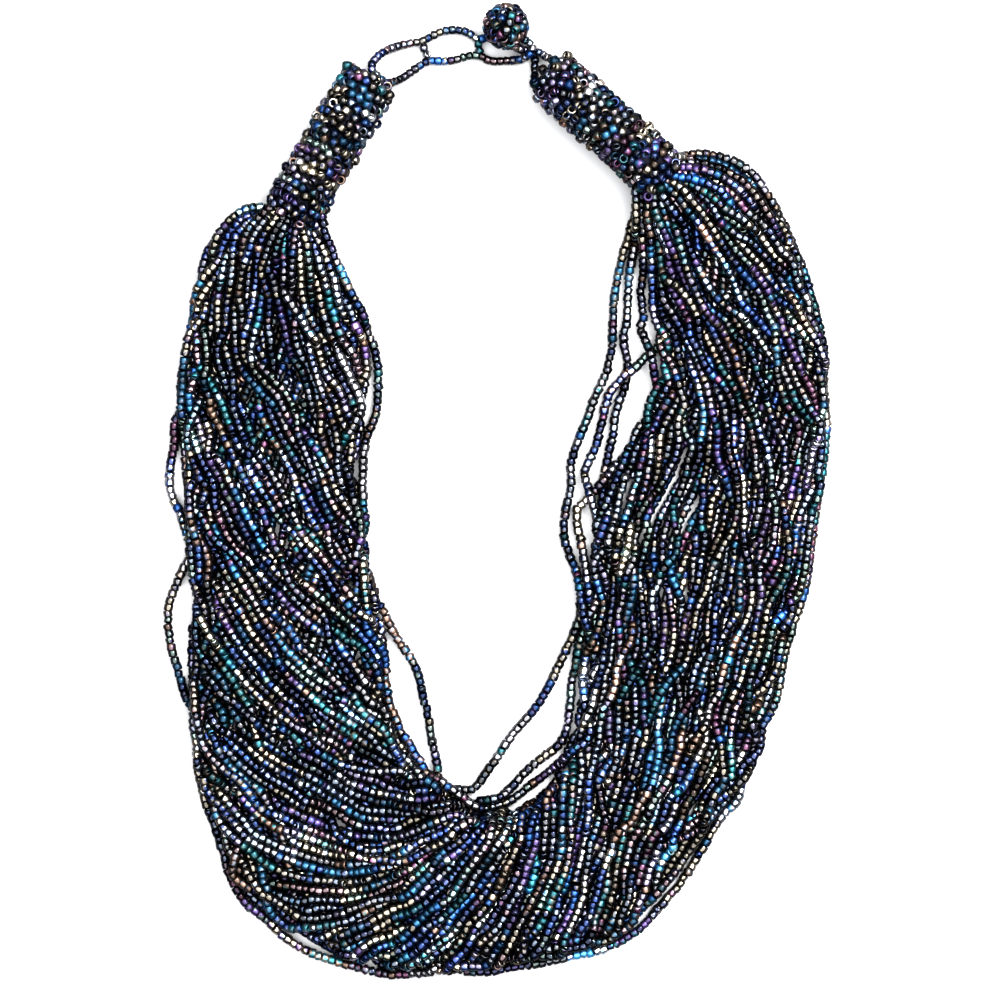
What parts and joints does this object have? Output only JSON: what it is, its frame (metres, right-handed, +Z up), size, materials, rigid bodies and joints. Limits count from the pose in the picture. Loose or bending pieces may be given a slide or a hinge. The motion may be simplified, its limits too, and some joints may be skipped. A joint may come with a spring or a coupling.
{
  "type": "multi strand necklace",
  "caption": "Multi strand seed bead necklace lying flat: a thick bundle of bead strands between two beaded tubes, closed by a beaded loop ladder and toggle ball.",
  "frame": {"origin": "middle of the necklace's plan box, on the surface that it lies on", "axes": "+Y along the longest extent, from the bottom of the bundle to the clasp; +Z up from the surface; +X to the side of the toggle ball's tube"},
  "size_m": [0.179, 0.2626, 0.0157],
  "materials": {
    "strand_beads": "opaque dark glass with a metallic iris coat, glossy",
    "tube_beads": "opaque dark glass with a metallic iris coat, glossy",
    "clasp_beads": "opaque dark glass with a metallic iris coat, glossy"
  },
  "bodies": {
    "root": {"left_tube": "tube_beads", "right_tube": "tube_beads", "strand_bundle": "strand_beads", "stray_left_upper": "strand_beads", "stray_left_lower": "strand_beads", "stray_inner_left_upper": "strand_beads", "stray_inner_left_lower": "strand_beads", "stray_right_long": "strand_beads", "stray_right_middle": "strand_beads", "stray_right_link": "strand_beads", "stray_right_cross": "strand_beads", "stray_right_low": "strand_beads", "stray_bottom_long": "strand_beads", "stray_bottom_short": "strand_beads", "clasp_ladder": "clasp_beads", "clasp_rung_1": "clasp_beads", "clasp_rung_2": "clasp_beads", "toggle_ball": "clasp_beads", "stem_upper": "clasp_beads", "stem_lower": "clasp_beads"}
  },
  "joints": []
}
